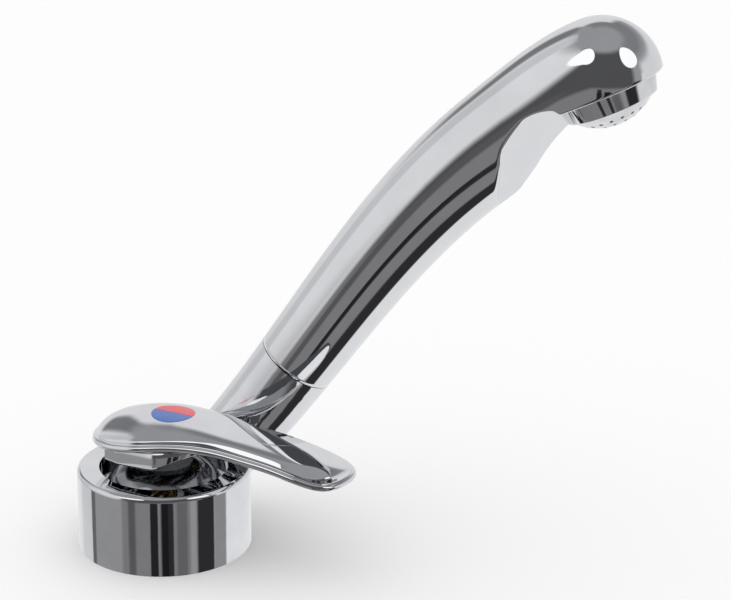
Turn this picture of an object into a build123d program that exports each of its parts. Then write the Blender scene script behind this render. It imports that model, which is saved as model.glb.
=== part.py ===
from math import cos, radians, sin, sqrt
import os

from build123d import *

os.makedirs("parts", exist_ok=True)

# Single-lever mixer tap with a pull-out hand shower for a spout.
# Millimetres. The origin is where the lever's turning axis meets the worktop,
# +X is the way the spout points and +Z is up.

# Body
base_radius = 30.0
base_height = 28.4
base_edge_round = 1.6
well_radius = 22.4
well_floor = 20.0
floor_thickness = 8.0

# Seal under the body
gasket_thickness = 1.6
gasket_inset = 0.7
gasket_width = 1.0
gasket_clearance = 0.1

# Spout and handset, seen from the side, in a plane beside the lever's axis
spout_offset = 28.0
spout_start = (11.4, 22.8)
spout_lower = (55.0, 75.1)
spout_upper = (79.3, 136.7)
spout_end = (140.6, 165.3)
spout_root_radius = 13.0
spout_tip_radius = 19.9
spout_flare_width = 2.3
joint_place = 0.236
joint_gap = 0.3
shell_wall = 2.2
loft_steps = 5
neck_place = 0.88

# Socket that the handset docks in
spigot_radius = 9.0
spigot_length = 20.0
spigot_taper = 0.7
spigot_head = 4.0
spigot_bore = 3.0
spigot_fit = 0.1
seal_wire = 1.2
seal_fit = 0.1
seal_centre = 8.3
seal_places = (6.0, 13.0)
bush_clearance = 0.25
bush_wall = 1.2
bush_press = 0.05
bush_depth = 0.5
hose_channel_radius = 5.6
hose_exit = (-1.0, 21.6)
hose_room = 6.0

# Spray head
head_centre = (142.8, 164.3)
head_tilt = 24.3
head_ring_radius = 19.7
head_radius = 20.0
head_shoulder = 4.0
dome_join = 0.1
keel_start = (106.0, 112.8)
keel_lower = (121.5, 137.4)
keel_middle = (126.6, 146.0)
keel_upper = (133.0, 153.6)
keel_run = 40.0
keel_slope = 34.0
scoop_skirt = 13.0
scoop_top = (128.8, 160.2)
scoop_bend = (117.6, 155.0)
scoop_back = (112.3, 141.0)
scoop_foot = (110.0, 126.0)
collar_radius = 17.1
collar_tip_radius = 15.2
collar_height = 6.1
collar_wall = 1.2
collar_seat = 5.0
collar_spigot_radius = 16.2
collar_edge_round = 0.45
collar_clearance = 0.15
plate_bulge = 6.0
plate_thickness = 1.5
plate_skirt = 4.0
plate_clearance = 0.15
spray_rings = 3
spray_ring_gap = 3.5
spray_hole_radius = 0.65
diffuser_thickness = 1.6
diffuser_gap = 0.3
diffuser_hole_radius = 1.3
diffuser_holes = 8
chamber_radius = 14.3
chamber_height = 4.9
chamber_roof = 1.6
elbow_height = 10.5
elbow_approach = (-20.0, 9.6)
elbow_radius = 5.6
elbow_back = 9.0
elbow_front = 4.5

# Water way inside the handset
tube_radius = 4.0
tube_bore = 3.0
tube_clearance = 0.05
tube_seat = 4.0
valve_radius = 3.4
valve_length = 9.0
valve_wall = 1.0
nipple_radius = 7.2
nipple_length = 9.0
nipple_stem_radius = 4.8
nipple_stem = 6.0
nipple_chamfer = 0.6
valve_fit = 0.1

# Cartridge
cartridge_radius = 17.4
cartridge_clearance = 0.2
cartridge_top = 17.0
cartridge_cap_wall = 1.5
cartridge_chamber = 13.6
plate_height = 1.5
disc_radius = 12.6
disc_height = 2.0
moving_disc_radius = 9.0
moving_disc_height = 1.8
port_radius = 2.4
hot_port = (-4.0, 5.0)
cold_port = (5.2, 5.6)
mixed_port = (-9.0, -1.0)
neck_radius = 11.6
neck_top = 27.0
neck_edge_round = 0.5
nut_radius = 19.4
nut_top = 21.5
nut_clearance = 0.2
nut_slots = 6
nut_slot_depth = 1.2
nut_slot_width = 2.0
cap_radius = 16.5
cap_wall = 1.2
cap_side = 3.0
cap_top = 29.5
cap_dome_radius = 12.5
ring_wire = 0.9
ring_gap = 0.1

# Carrier, lever stem and pin
carrier_radius = 10.0
carrier_crest = 2.0
carrier_fit = 0.1
carrier_flange = 12.8
carrier_flange_height = 1.5
carrier_lift = 0.4
slot_length = 15.0
slot_width = 6.2
pivot_height = 31.5
pin_radius = 1.5
pin_fit = 0.06
pin_end_gap = 0.2
stem_half_width = 3.5
stem_neck = 1.6
stem_thickness = 5.6
stem_arm = 8.5
stem_ball = 2.4
ball_clearance = 0.25
driver_length = 7.0
driver_thickness = 5.8
stem_grip = 7.0

# Lever
lever_turn = -11.0
lever_length = 75.0
lever_half_width = 18.0
lever_mid_half = 14.6
lever_mid_place = 34.0
lever_tip_half = 12.0
lever_rear = 24.0
rear_fall = 2.0
lip_hub = 41.2
lip_tip = 36.6
lip_height = 1.8
lip_reach = 1.0
lip_round = 1.2
hub_top = 48.6
hub_top_place = 6.0
tip_top = 42.4
crown_rise = 4.2
crown_edge_share = 0.62
crown_rear_power = 1.8
crown_front_power = 1.8
tip_power = 6
flank_lean = 0.6
lever_wall = 2.2
rear_stations = (0.991, 0.83, 0.52, 0.09)
front_stations = (0.13, 0.29, 0.45, 0.61, 0.77, 0.89, 0.966, 0.996)
cavity_rear_wall = 5.0
cavity_front_wall = 13.0
cavity_steps = 7
facet_start = (15.0, 14.0, 47.2)
facet_end = (73.0, -9.0, 41.2)
facet_corner = (60.0, 13.0, 39.9)
facet_hollow = 0.5
facet_width = 24.0
skirt_half_width = 16.6
skirt_rear = 21.4
skirt_front = 14.0
skirt_bottom = 34.0
skirt_wall = 2.0
skirt_cut_start = 4.0
skirt_cut_peak = 24.0
skirt_cut_end = 40.0
skirt_cut_depth = 1.0
socket_size = 13.0
socket_lift_room = 3.1
marker_radius = 7.6
marker_depth = 1.2
marker_place = 4.0
marker_clearance = 0.1
stem_fit = 0.05
screw_boss = 2.2
screw_fit = 0.05
screw_key_depth = 2.0
screw_radius = 2.0
screw_rise = 2.6
screw_key = 1.25
screw_recess = 0.6

# Under the worktop
worktop = 28.0
shank_centre = (-3.0, 12.5)
shank_radius = 17.0
shank_wall = 2.0
shank_engagement = 4.0
shank_length = 48.0
rubber_washer_radius = 26.0
rubber_washer_height = 3.0
steel_washer_radius = 26.0
steel_washer_height = 1.6
washer_clearance = 0.4
fixing_nut_flats = 46.0
fixing_nut_height = 8.0
fixing_nut_clearance = 0.1
tail_radius = 3.7
tail_bore = 2.6
tail_stub_radius = 4.0
tail_stub_length = 20.0
tail_socket = 3.5
tail_length = 80.0
tail_clearance = 0.05
mixed_tail = (-11.0, 14.5)
gallery_height = 5.0
gallery_radius = 2.0


def spout_point(t):
    """Point (x, z) of the spout's centre line at the share t of its curve."""
    a, b, c, d = spout_start, spout_lower, spout_upper, spout_end
    s = 1 - t
    return tuple(
        s**3 * a[i] + 3 * s**2 * t * b[i] + 3 * s * t**2 * c[i] + t**3 * d[i] for i in (0, 1)
    )


def spout_slope(t):
    """Unit direction (x, z) of the spout's centre line at t."""
    a, b, c, d = spout_start, spout_lower, spout_upper, spout_end
    s = 1 - t
    v = [s**2 * (b[i] - a[i]) + 2 * s * t * (c[i] - b[i]) + t**2 * (d[i] - c[i]) for i in (0, 1)]
    size = sqrt(v[0] ** 2 + v[1] ** 2)
    return v[0] / size, v[1] / size


def spout_radius(t):
    """Outer radius of the spout at t."""
    growth = spout_tip_radius - spout_root_radius - spout_flare_width
    return spout_root_radius + growth * t + spout_flare_width * t**3


def spout_plane(t, shift=0.0):
    """Plane across the spout at t, moved along it by shift."""
    x, z = spout_point(t)
    dx, dz = spout_slope(t)
    return Plane(
        origin=(x + dx * shift, spout_offset, z + dz * shift), x_dir=(0, 1, 0), z_dir=(dx, 0, dz)
    )


side_plane = Plane.XZ.offset(-spout_offset)

# Spray head frame: its axis leaves the head's ring downwards and forwards
head_sin = sin(radians(head_tilt))
head_cos = cos(radians(head_tilt))


def head_plane(height):
    """Plane across the head, height above the ring's edge, facing up into the head."""
    x = head_centre[0] - head_sin * height
    z = head_centre[1] + head_cos * height
    return Plane(origin=(x, spout_offset, z), x_dir=(0, 1, 0), z_dir=(-head_sin, 0, head_cos))


def head_side(u, w):
    """Point (x, z) that lies u forward of the head's axis and w above its ring."""
    return (
        head_centre[0] + head_cos * u - head_sin * w,
        head_centre[1] + head_sin * u + head_cos * w,
    )


def across_plane(u, height):
    """Plane across the head's forward way, u forward of its axis, height above its ring."""
    x, z = head_side(u, height)
    return Plane(origin=(x, spout_offset, z), x_dir=(0, 1, 0), z_dir=(head_cos, 0, head_sin))


# Lever frame: u runs along the lever, its side plane stands on the turning axis
lever_dir = Vector(cos(radians(lever_turn)), sin(radians(lever_turn)), 0)
lever_across = Vector(-sin(radians(lever_turn)), cos(radians(lever_turn)), 0)
lever_side = Plane(origin=(0, 0, 0), x_dir=lever_dir, z_dir=-lever_across)


def lever_level(z):
    """Level plane at height z with its x along the lever."""
    return Plane(origin=(0, 0, z), x_dir=lever_dir, z_dir=(0, 0, 1))


# Places that several pieces share
plate_top = floor_thickness + plate_height
disc_top = plate_top + disc_height
moving_top = disc_top + moving_disc_height
flange_bottom = moving_top + carrier_lift
ring_centre = port_radius + ring_wire
chamber_top = cartridge_top - cartridge_cap_wall
ball_height = pivot_height - stem_arm
carrier_top = pivot_height + carrier_crest
socket_bottom = carrier_top + socket_lift_room
screw_height = socket_bottom + screw_rise
marker_floor = hub_top - marker_depth
bush_inner = spigot_radius + bush_clearance
bush_outer = bush_inner + bush_wall
tails = {"hot_tail": hot_port, "cold_tail": cold_port, "outlet_tail": mixed_tail}

# Outline on the worktop: the round base, the foot of the leaning holder and the land
# that covers the shank, which lies within the other two while the base is wide enough
shank_land = shank_radius + gasket_inset + gasket_width + 2 * gasket_clearance
holder_dx, holder_dz = spout_slope(0)
holder_foot = spout_start[0] - spout_start[1] * holder_dx / holder_dz


def footprint(inset):
    """Outline on the worktop, moved in by inset."""
    with BuildSketch() as outline:
        Circle(base_radius - inset)
        with Locations((holder_foot, spout_offset)):
            Ellipse(spout_root_radius / holder_dz - inset, spout_root_radius - inset)
        with Locations(shank_centre):
            Circle(shank_land - inset)
    return outline.sketch


# Body: round base, leaning handset holder, well, cartridge pocket and water ways
with BuildPart() as body:
    with BuildSketch():
        Circle(base_radius)
    extrude(amount=base_height)
    fillet(body.edges().group_by(Axis.Z)[-1], base_edge_round)
    with BuildSketch(spout_plane(0, -2 * base_height)):
        Circle(spout_root_radius)
    with BuildSketch(spout_plane(0)):
        Circle(spout_root_radius)
    loft()
    for t in (0, joint_place / 2, joint_place):
        with BuildSketch(spout_plane(t)):
            Circle(spout_radius(t))
    loft()
    with BuildSketch(Plane.XY):
        Rectangle(6 * base_radius, 6 * base_radius)
    extrude(amount=-3 * base_height, mode=Mode.SUBTRACT)
    with BuildSketch():
        with Locations(shank_centre):
            Circle(shank_land)
    extrude(amount=floor_thickness)
    with BuildSketch(Plane.XY.offset(well_floor)):
        Circle(well_radius)
    extrude(amount=2 * base_height, mode=Mode.SUBTRACT)
    with BuildSketch(Plane.XY.offset(floor_thickness)):
        Circle(cartridge_radius + cartridge_clearance)
    extrude(amount=base_height, mode=Mode.SUBTRACT)
    with BuildSketch(Plane.XY.offset(cartridge_top)):
        Circle(nut_radius + nut_clearance)
    extrude(amount=base_height, mode=Mode.SUBTRACT)
    # the holder's mouth, its bush seat and the hose channel below
    with BuildSketch(spout_plane(joint_place)):
        Circle(bush_outer + bush_press)
    extrude(amount=-spigot_length - nipple_length - hose_room, mode=Mode.SUBTRACT)
    with BuildSketch(Plane(origin=(hose_exit[0], hose_exit[1], 0), z_dir=(0, 0, 1))):
        Circle(hose_channel_radius)
    with BuildSketch(spout_plane(joint_place, -spigot_length - nipple_length - hose_room)):
        Circle(hose_channel_radius)
    loft(mode=Mode.SUBTRACT)
    # ports under the cartridge and the gallery of mixed water
    for port in (hot_port, cold_port):
        with BuildSketch(Plane.XY.offset(floor_thickness)):
            with Locations(port):
                Circle(port_radius)
        extrude(amount=-floor_thickness, mode=Mode.SUBTRACT)
    with BuildSketch(Plane.XY.offset(floor_thickness)):
        with Locations(mixed_port):
            Circle(gallery_radius)
    extrude(amount=gallery_height - floor_thickness, mode=Mode.SUBTRACT)
    with BuildSketch(
        Plane(
            origin=(mixed_port[0], mixed_port[1], gallery_height),
            z_dir=(mixed_tail[0] - mixed_port[0], mixed_tail[1] - mixed_port[1], 0),
        )
    ):
        Circle(gallery_radius)
    extrude(
        amount=sqrt((mixed_tail[0] - mixed_port[0]) ** 2 + (mixed_tail[1] - mixed_port[1]) ** 2),
        mode=Mode.SUBTRACT,
    )
    with BuildSketch(Plane.XY.offset(gallery_height)):
        with Locations(mixed_tail):
            Circle(gallery_radius)
    extrude(amount=-gallery_height, mode=Mode.SUBTRACT)
    for place in tails.values():
        with BuildSketch():
            with Locations(place):
                Circle(tail_radius + tail_clearance)
        extrude(amount=tail_socket, mode=Mode.SUBTRACT)
    # shank seat
    with BuildSketch():
        with Locations(shank_centre):
            Circle(shank_radius + tail_clearance)
            Circle(shank_radius - shank_wall - tail_clearance, mode=Mode.SUBTRACT)
    extrude(amount=shank_engagement, mode=Mode.SUBTRACT)
    # groove of the seal under the body
    with BuildSketch():
        add(footprint(gasket_inset - gasket_clearance))
        add(footprint(gasket_inset + gasket_width + gasket_clearance), mode=Mode.SUBTRACT)
    extrude(amount=gasket_thickness, mode=Mode.SUBTRACT)
body.part.label = "base_body"
export_step(body.part, "parts/base_body.step")


# Seal under the body, a cord that follows its outline
with BuildPart() as gasket:
    with BuildSketch():
        add(footprint(gasket_inset))
        add(footprint(gasket_inset + gasket_width), mode=Mode.SUBTRACT)
    extrude(amount=gasket_thickness)
gasket.part.label = "base_gasket"
export_step(gasket.part, "parts/base_gasket.step")

# Cartridge: housing with its neck, base plate, ceramic discs and sealing rings
with BuildPart() as housing:
    with BuildSketch(Plane.XY.offset(plate_top)):
        Circle(cartridge_radius)
    extrude(amount=cartridge_top - plate_top)
    with BuildSketch(Plane.XY.offset(cartridge_top)):
        Circle(neck_radius)
    extrude(amount=neck_top - cartridge_top)
    fillet(housing.edges().group_by(Axis.Z)[-1], neck_edge_round)
    with BuildSketch(Plane.XY.offset(plate_top)):
        Circle(cartridge_chamber)
    extrude(amount=chamber_top - plate_top, mode=Mode.SUBTRACT)
    with BuildSketch(Plane.XY.offset(plate_top)):
        Circle(carrier_radius)
    extrude(amount=neck_top, mode=Mode.SUBTRACT)
housing.part.label = "cartridge_housing"
export_step(housing.part, "parts/cartridge_housing.step")

with BuildPart() as plate:
    with BuildSketch(Plane.XY.offset(floor_thickness)):
        Circle(cartridge_radius)
        with Locations(hot_port, cold_port, mixed_port):
            Circle(port_radius, mode=Mode.SUBTRACT)
    extrude(amount=plate_height)
    with BuildSketch(Plane.XY.offset(floor_thickness)):
        with Locations(hot_port, cold_port, mixed_port):
            Circle(ring_centre + ring_wire / 2 + ring_gap)
        with Locations(hot_port, cold_port, mixed_port):
            Circle(ring_centre - ring_wire / 2 - ring_gap, mode=Mode.SUBTRACT)
    extrude(amount=ring_wire, mode=Mode.SUBTRACT)
plate.part.label = "cartridge_plate"
export_step(plate.part, "parts/cartridge_plate.step")

with BuildPart() as fixed_disc:
    with BuildSketch(Plane.XY.offset(plate_top)):
        Circle(disc_radius)
        with Locations(hot_port, cold_port, mixed_port):
            Circle(port_radius, mode=Mode.SUBTRACT)
    extrude(amount=disc_height)
fixed_disc.part.label = "fixed_ceramic_disc"
export_step(fixed_disc.part, "parts/fixed_ceramic_disc.step")

with BuildPart() as moving_disc:
    with BuildSketch(Plane.XY.offset(disc_top)):
        Circle(moving_disc_radius)
    extrude(amount=moving_disc_height)
moving_disc.part.label = "moving_ceramic_disc"
export_step(moving_disc.part, "parts/moving_ceramic_disc.step")

# Driver that the stem's ball pushes along the slot, seated on the moving disc
driver_top = ball_height + stem_ball
with BuildPart() as driver:
    with BuildSketch(lever_level(moving_top)):
        Rectangle(driver_length, driver_thickness)
    extrude(amount=driver_top - moving_top)
    with BuildSketch(lever_level(ball_height - stem_ball - ball_clearance)):
        Rectangle(2 * (stem_ball + ball_clearance), driver_thickness)
    extrude(amount=base_height, mode=Mode.SUBTRACT)
driver.part.label = "disc_driver"
export_step(driver.part, "parts/disc_driver.step")

# Turning carrier in the cartridge's neck, slotted for the stem
with BuildPart() as carrier:
    with BuildSketch(Plane.XY.offset(flange_bottom)):
        Circle(carrier_flange)
    extrude(amount=carrier_flange_height)
    with BuildSketch(Plane.XY.offset(flange_bottom)):
        Circle(carrier_radius - carrier_fit)
    extrude(amount=carrier_top - flange_bottom)
    with BuildSketch(lever_level(flange_bottom)):
        Rectangle(slot_length, slot_width)
    extrude(amount=carrier_top - flange_bottom, mode=Mode.SUBTRACT)
    with BuildSketch(lever_side.offset(-carrier_flange)):
        with Locations((0, pivot_height)):
            Circle(pin_radius)
    extrude(amount=2 * carrier_flange, mode=Mode.SUBTRACT)
carrier.part.label = "cartridge_carrier"
export_step(carrier.part, "parts/cartridge_carrier.step")

pin_half = sqrt((carrier_radius - carrier_fit) ** 2 - pin_radius**2) - pin_end_gap
with BuildPart() as pin:
    with BuildSketch(lever_side.offset(-pin_half)):
        with Locations((0, pivot_height)):
            Circle(pin_radius)
    extrude(amount=2 * pin_half)
pin.part.label = "pivot_pin"
export_step(pin.part, "parts/pivot_pin.step")

# Ring nut that clamps the cartridge, slotted for its spanner
with BuildPart() as nut:
    with BuildSketch(Plane.XY.offset(cartridge_top)):
        Circle(nut_radius)
        Circle(neck_radius + nut_clearance, mode=Mode.SUBTRACT)
    extrude(amount=nut_top - cartridge_top)
    with BuildSketch(Plane.XY.offset(nut_top)):
        with PolarLocations(nut_radius, nut_slots):
            Rectangle(2 * nut_slot_depth, nut_slot_width)
    extrude(amount=well_floor - nut_top, mode=Mode.SUBTRACT)
nut.part.label = "cartridge_nut"
export_step(nut.part, "parts/cartridge_nut.step")

# Domed cap over the nut
with BuildPart() as cap:
    with BuildSketch(Plane.XZ):
        with BuildLine():
            l1 = Line((cap_radius, nut_top), (cap_radius, nut_top + cap_side))
            l2 = RadiusArc(l1 @ 1, (neck_radius + nut_clearance, cap_top), -cap_dome_radius)
            l3 = Line(l2 @ 1, (neck_radius + nut_clearance, cap_top - cap_wall))
            l4 = RadiusArc(l3 @ 1, (cap_radius - cap_wall, nut_top + cap_side), cap_dome_radius - cap_wall)
            l5 = Line(l4 @ 1, (cap_radius - cap_wall, nut_top))
            Line(l5 @ 1, l1 @ 0)
        make_face()
    revolve(axis=Axis.Z)
cap.part.label = "cartridge_cap"
export_step(cap.part, "parts/cartridge_cap.step")

# Sealing rings in the plate's grooves
with BuildPart() as seals:
    for port in (hot_port, cold_port, mixed_port):
        with BuildSketch(Plane(origin=(port[0], port[1], 0), x_dir=(1, 0, 0), z_dir=(0, -1, 0))):
            with Locations((ring_centre, floor_thickness + ring_wire / 2)):
                Circle(ring_wire / 2)
        revolve(axis=Axis((port[0], port[1], 0), (0, 0, 1)))
seals.part.label = "cartridge_seals"
export_step(seals.part, "parts/cartridge_seals.step")

# Lever stem: a flat bar with a ball end below the pin
with BuildPart() as stem:
    with BuildSketch(lever_side.offset(-stem_thickness / 2)):
        with BuildLine():
            Polyline(
                (-stem_neck, ball_height),
                (-stem_neck, pivot_height - stem_half_width),
                (-stem_half_width, pivot_height - stem_neck),
                (-stem_half_width, socket_bottom + stem_grip),
                (stem_half_width, socket_bottom + stem_grip),
                (stem_half_width, pivot_height - stem_neck),
                (stem_neck, pivot_height - stem_half_width),
                (stem_neck, ball_height),
                close=True,
            )
        make_face()
        with Locations((0, ball_height)):
            Circle(stem_ball)
        with Locations((0, pivot_height)):
            Circle(pin_radius + pin_fit, mode=Mode.SUBTRACT)
    extrude(amount=stem_thickness)
stem.part.label = "lever_stem"
export_step(stem.part, "parts/lever_stem.step")


# Lever handle, lofted through sections across its length. A section has a rounded
# lip underneath, two steep flanks and a wide, slightly domed crown.
def smooth(a, b, share):
    """Value that eases from a to b over the share 0 to 1."""
    share = min(max(share, 0.0), 1.0)
    return a + (b - a) * share * share * (3 - 2 * share)


def lever_width(u):
    """Half width of the lever's lip at u."""
    if u < 0:
        return lever_half_width * sqrt(max(1 - (u / lever_rear) ** 2, 0))
    if u < lever_mid_place:
        return smooth(lever_half_width, lever_mid_half, u / lever_mid_place)
    share = (u - lever_mid_place) / (lever_length - lever_mid_place)
    return (lever_mid_half + (lever_tip_half - lever_mid_half) * share) * sqrt(1 - share**tip_power)


def lever_lip(u):
    """Height of the lever's lip at u: it falls towards the tip and a little to the rear."""
    if u < 0:
        return lip_hub - rear_fall * (u / lever_rear) ** 2
    return smooth(lip_hub, lip_tip, (u - lever_mid_place / 2) / (lever_length - lever_mid_place / 2))


def lever_crown(u):
    """Height of the lever's crown at u."""
    if u < hub_top_place:
        share = (hub_top_place - u) / (hub_top_place + lever_rear)
        edge = lever_lip(u) + lip_height
        return edge + (hub_top - edge) * sqrt(1 - share**crown_rear_power)
    share = (u - hub_top_place) / (lever_length - hub_top_place)
    return hub_top + (tip_top - hub_top) * share**crown_front_power


def lever_section(u, inset):
    """Closed section across the lever at u, with its walls moved in by inset."""
    share = lever_width(u) / lever_half_width
    lip = lever_width(u) - inset
    foot = lip - lip_reach * share
    head = foot - flank_lean * share
    low = lever_lip(u) - (lip_height if inset else 0)
    edge = lever_lip(u) + lip_height - inset / 2
    top = max(lever_crown(u) - inset, edge + lip_height / 2)
    rise = top - edge
    drop = crown_rise * rise / (hub_top - lip_hub)
    turn = crown_edge_share * (rise - drop) * min(1, 2 * share)
    middle = turn * (1 - sqrt(0.5))
    with BuildSketch(Plane(origin=lever_dir * u, x_dir=lever_across, z_dir=lever_dir)) as section:
        with BuildLine():
            Line((lip_round * share - lip, low), (lip - lip_round * share, low))
            ThreePointArc((lip - lip_round * share, low), (lip, (low + edge) / 2), (foot, edge))
            Line((foot, edge), (head, top - drop - turn))
            ThreePointArc(
                (head, top - drop - turn), (head - middle, top - drop - middle), (head - turn, top - drop)
            )
            ThreePointArc((head - turn, top - drop), (0, top), (turn - head, top - drop))
            ThreePointArc(
                (turn - head, top - drop), (middle - head, top - drop - middle), (-head, top - drop - turn)
            )
            Line((-head, top - drop - turn), (-foot, edge))
            ThreePointArc((-foot, edge), (-lip, (low + edge) / 2), (lip_round * share - lip, low))
        make_face()
    return section.sketch


def lever_point(place):
    """Point that lies (along, across, up) in the lever's frame."""
    return lever_dir * place[0] + lever_across * place[1] + Vector(0, 0, place[2])


def facet_space(inset):
    """Space over the hollow facet that slopes from the crown's ridge to the far side."""
    start = lever_point(facet_start)
    ridge = lever_point(facet_end) - start
    up = ridge.cross(lever_point(facet_corner) - start).normalized()
    across = up.cross(ridge.normalized())
    origin = start - up * inset - ridge
    with BuildPart() as space:
        with BuildSketch(Plane(origin=origin, x_dir=across, z_dir=ridge.normalized())):
            with BuildLine():
                ThreePointArc((0, 0), (facet_width / 2, -facet_hollow), (facet_width, 0))
                Polyline((facet_width, 0), (facet_width, facet_width), (0, facet_width), (0, 0))
            make_face()
        extrude(amount=3 * ridge.length)
    return space.part


def skirt_outline(half, rear, front):
    """Outline of the skirt in plan: a rounded rear, straight sides and a rounded front."""
    with BuildLine() as outline:
        ThreePointArc((half - rear, half), (-rear, 0), (half - rear, -half))
        Line((half - rear, -half), (front - half / 2, -half))
        ThreePointArc((front - half / 2, -half), (front + half / 2, 0), (front - half / 2, half))
        Line((front - half / 2, half), (half - rear, half))
    return outline.line


cavity_rear = cavity_rear_wall - lever_rear
cavity_front = lever_length - cavity_front_wall
with BuildPart() as cavity:
    for step in range(cavity_steps):
        share = step / (cavity_steps - 1)
        add(lever_section(cavity_rear + (cavity_front - cavity_rear) * share, lever_wall))
    loft()
    add(facet_space(lever_wall), mode=Mode.SUBTRACT)

with BuildPart() as handle:
    for share in rear_stations:
        add(lever_section(-share * lever_rear, 0.0))
    for share in front_stations:
        add(lever_section(share * lever_length, 0.0))
    loft()
    add(facet_space(0.0), mode=Mode.SUBTRACT)
    # the skirt's wall, its lower edge sweeping up under the arm
    with BuildSketch(lever_level(skirt_bottom)):
        add(make_face(skirt_outline(skirt_half_width, skirt_rear, skirt_front)))
    extrude(amount=lip_hub - skirt_bottom)
    with BuildSketch(lever_side.offset(-base_radius)):
        with BuildLine():
            Polyline(
                (skirt_cut_start, skirt_bottom - skirt_cut_depth),
                (skirt_cut_start, skirt_bottom),
                (skirt_cut_peak, lip_hub),
                (skirt_cut_end, skirt_bottom - skirt_cut_depth),
                close=True,
            )
        make_face()
    extrude(amount=2 * base_radius, mode=Mode.SUBTRACT)
    # hollow underside
    add(cavity.part, mode=Mode.SUBTRACT)
    with BuildSketch(lever_level(skirt_bottom)):
        add(
            make_face(
                skirt_outline(skirt_half_width - skirt_wall, skirt_rear - skirt_wall, skirt_front - skirt_wall)
            )
        )
    extrude(amount=lip_hub + lip_height - skirt_bottom, mode=Mode.SUBTRACT)
    # block that grips the stem and the boss of its screw, cut to the crown
    with BuildSketch(lever_level(socket_bottom)):
        Rectangle(socket_size, socket_size)
    extrude(amount=marker_floor - socket_bottom)
    with BuildSketch(lever_side.offset(stem_thickness / 2)):
        with Locations((0, screw_height)):
            Circle(screw_radius + screw_boss)
    extrude(amount=skirt_half_width - stem_thickness / 2 - skirt_wall / 2)
    with BuildSketch(lever_level(socket_bottom)):
        Rectangle(2 * (stem_half_width + stem_fit), stem_thickness + 2 * stem_fit)
    extrude(amount=stem_grip + stem_fit, mode=Mode.SUBTRACT)
    with BuildSketch(lever_side):
        with Locations((0, screw_height)):
            Circle(screw_radius + screw_fit)
    extrude(amount=base_radius, mode=Mode.SUBTRACT)
    # recess of the hot and cold marker
    with BuildSketch(lever_level(marker_floor)):
        with Locations((marker_place, 0)):
            Circle(marker_radius + marker_clearance)
    extrude(amount=base_radius, mode=Mode.SUBTRACT)
handle.part.label = "lever_handle"
export_step(handle.part, "parts/lever_handle.step")

# Hot and cold halves of the round marker on the hub
marker_halves = {"hot_marker": 1, "cold_marker": -1}
for name, way in marker_halves.items():
    with BuildPart() as marker:
        with BuildSketch(lever_level(marker_floor)):
            with Locations((marker_place, 0)):
                Circle(marker_radius)
            with Locations((marker_place, -way * 2 * marker_radius)):
                Rectangle(4 * marker_radius, 4 * marker_radius, mode=Mode.SUBTRACT)
        extrude(amount=marker_depth)
    marker.part.label = name
    export_step(marker.part, f"parts/{name}.step")

# Grub screw that holds the lever on its stem
with BuildPart() as screw:
    with BuildSketch(lever_side.offset(stem_thickness / 2)):
        with Locations((0, screw_height)):
            Circle(screw_radius)
    extrude(amount=skirt_half_width - screw_recess - stem_thickness / 2)
    with BuildSketch(lever_side.offset(skirt_half_width - screw_recess)):
        with Locations((0, screw_height)):
            RegularPolygon(screw_key, 6)
    extrude(amount=-screw_key_depth, mode=Mode.SUBTRACT)
screw.part.label = "grub_screw"
export_step(screw.part, "parts/grub_screw.step")

# Handset shell: a swelling grip that runs into the domed head. Under the neck a
# keel rises from the grip's underside to the collar, with a sloping cheek each side.
side_origin = (head_centre[0], spout_offset, head_centre[1])
side_x = (head_cos, 0, head_sin)
head_axis = Axis(side_origin, (-head_sin, 0, head_cos))
head_section = Plane(origin=side_origin, x_dir=side_x, z_dir=(0, -1, 0))
grip_steps = [joint_place + (neck_place - joint_place) * k / loft_steps for k in range(loft_steps + 1)]

keel_end = head_side(keel_run, keel_run)
with BuildSketch(side_plane) as keel_side:
    with BuildLine():
        Line(keel_start, keel_lower)
        ThreePointArc(keel_lower, keel_middle, keel_upper)
        Polyline(keel_upper, keel_end, (keel_end[0], keel_start[1]), keel_start)
    make_face()
with BuildSketch(side_plane) as scoop_side:
    with BuildLine():
        Polyline(head_side(keel_run, 0), head_side(-scoop_skirt, 0), scoop_top)
        ThreePointArc(scoop_top, scoop_bend, scoop_back)
        Polyline(
            scoop_back,
            scoop_foot,
            (scoop_foot[0], scoop_foot[1] - keel_run),
            (keel_end[0], scoop_foot[1] - keel_run),
            head_side(keel_run, 0),
        )
    make_face()


def scoop_space(inset):
    """Space under the neck and the head's skirt, moved into the wall by inset."""
    with BuildPart() as space:
        with BuildSketch(side_plane):
            offset(keel_side.sketch_local, amount=inset)
        extrude(amount=head_radius + shell_wall, both=True, taper=-keel_slope)
        with BuildSketch(side_plane):
            offset(scoop_side.sketch_local, amount=inset)
        extrude(amount=2 * head_radius, both=True, mode=Mode.INTERSECT)
    return space.part


def dome_profile(inset):
    """Half section of the head's dome, with its wall moved in by inset."""
    with BuildSketch(head_section) as profile:
        with BuildLine():
            Line((0, 0), (head_ring_radius - inset, 0))
            Line((head_ring_radius - inset, 0), (head_radius - inset, head_shoulder))
            RadiusArc(
                (head_radius - inset, head_shoulder),
                (0, head_shoulder + head_radius - inset),
                -(head_radius - inset),
            )
            Line((0, head_shoulder + head_radius - inset), (0, 0))
        make_face()
    return profile.sketch


with BuildPart() as hollow:
    for t in grip_steps:
        with BuildSketch(spout_plane(t)):
            Circle(spout_radius(t) - shell_wall)
    with BuildSketch(across_plane(0, head_shoulder)):
        Circle(head_radius - dome_join - shell_wall)
    loft()
    add(dome_profile(shell_wall))
    revolve(axis=head_axis)
    add(scoop_space(shell_wall), mode=Mode.SUBTRACT)

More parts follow.
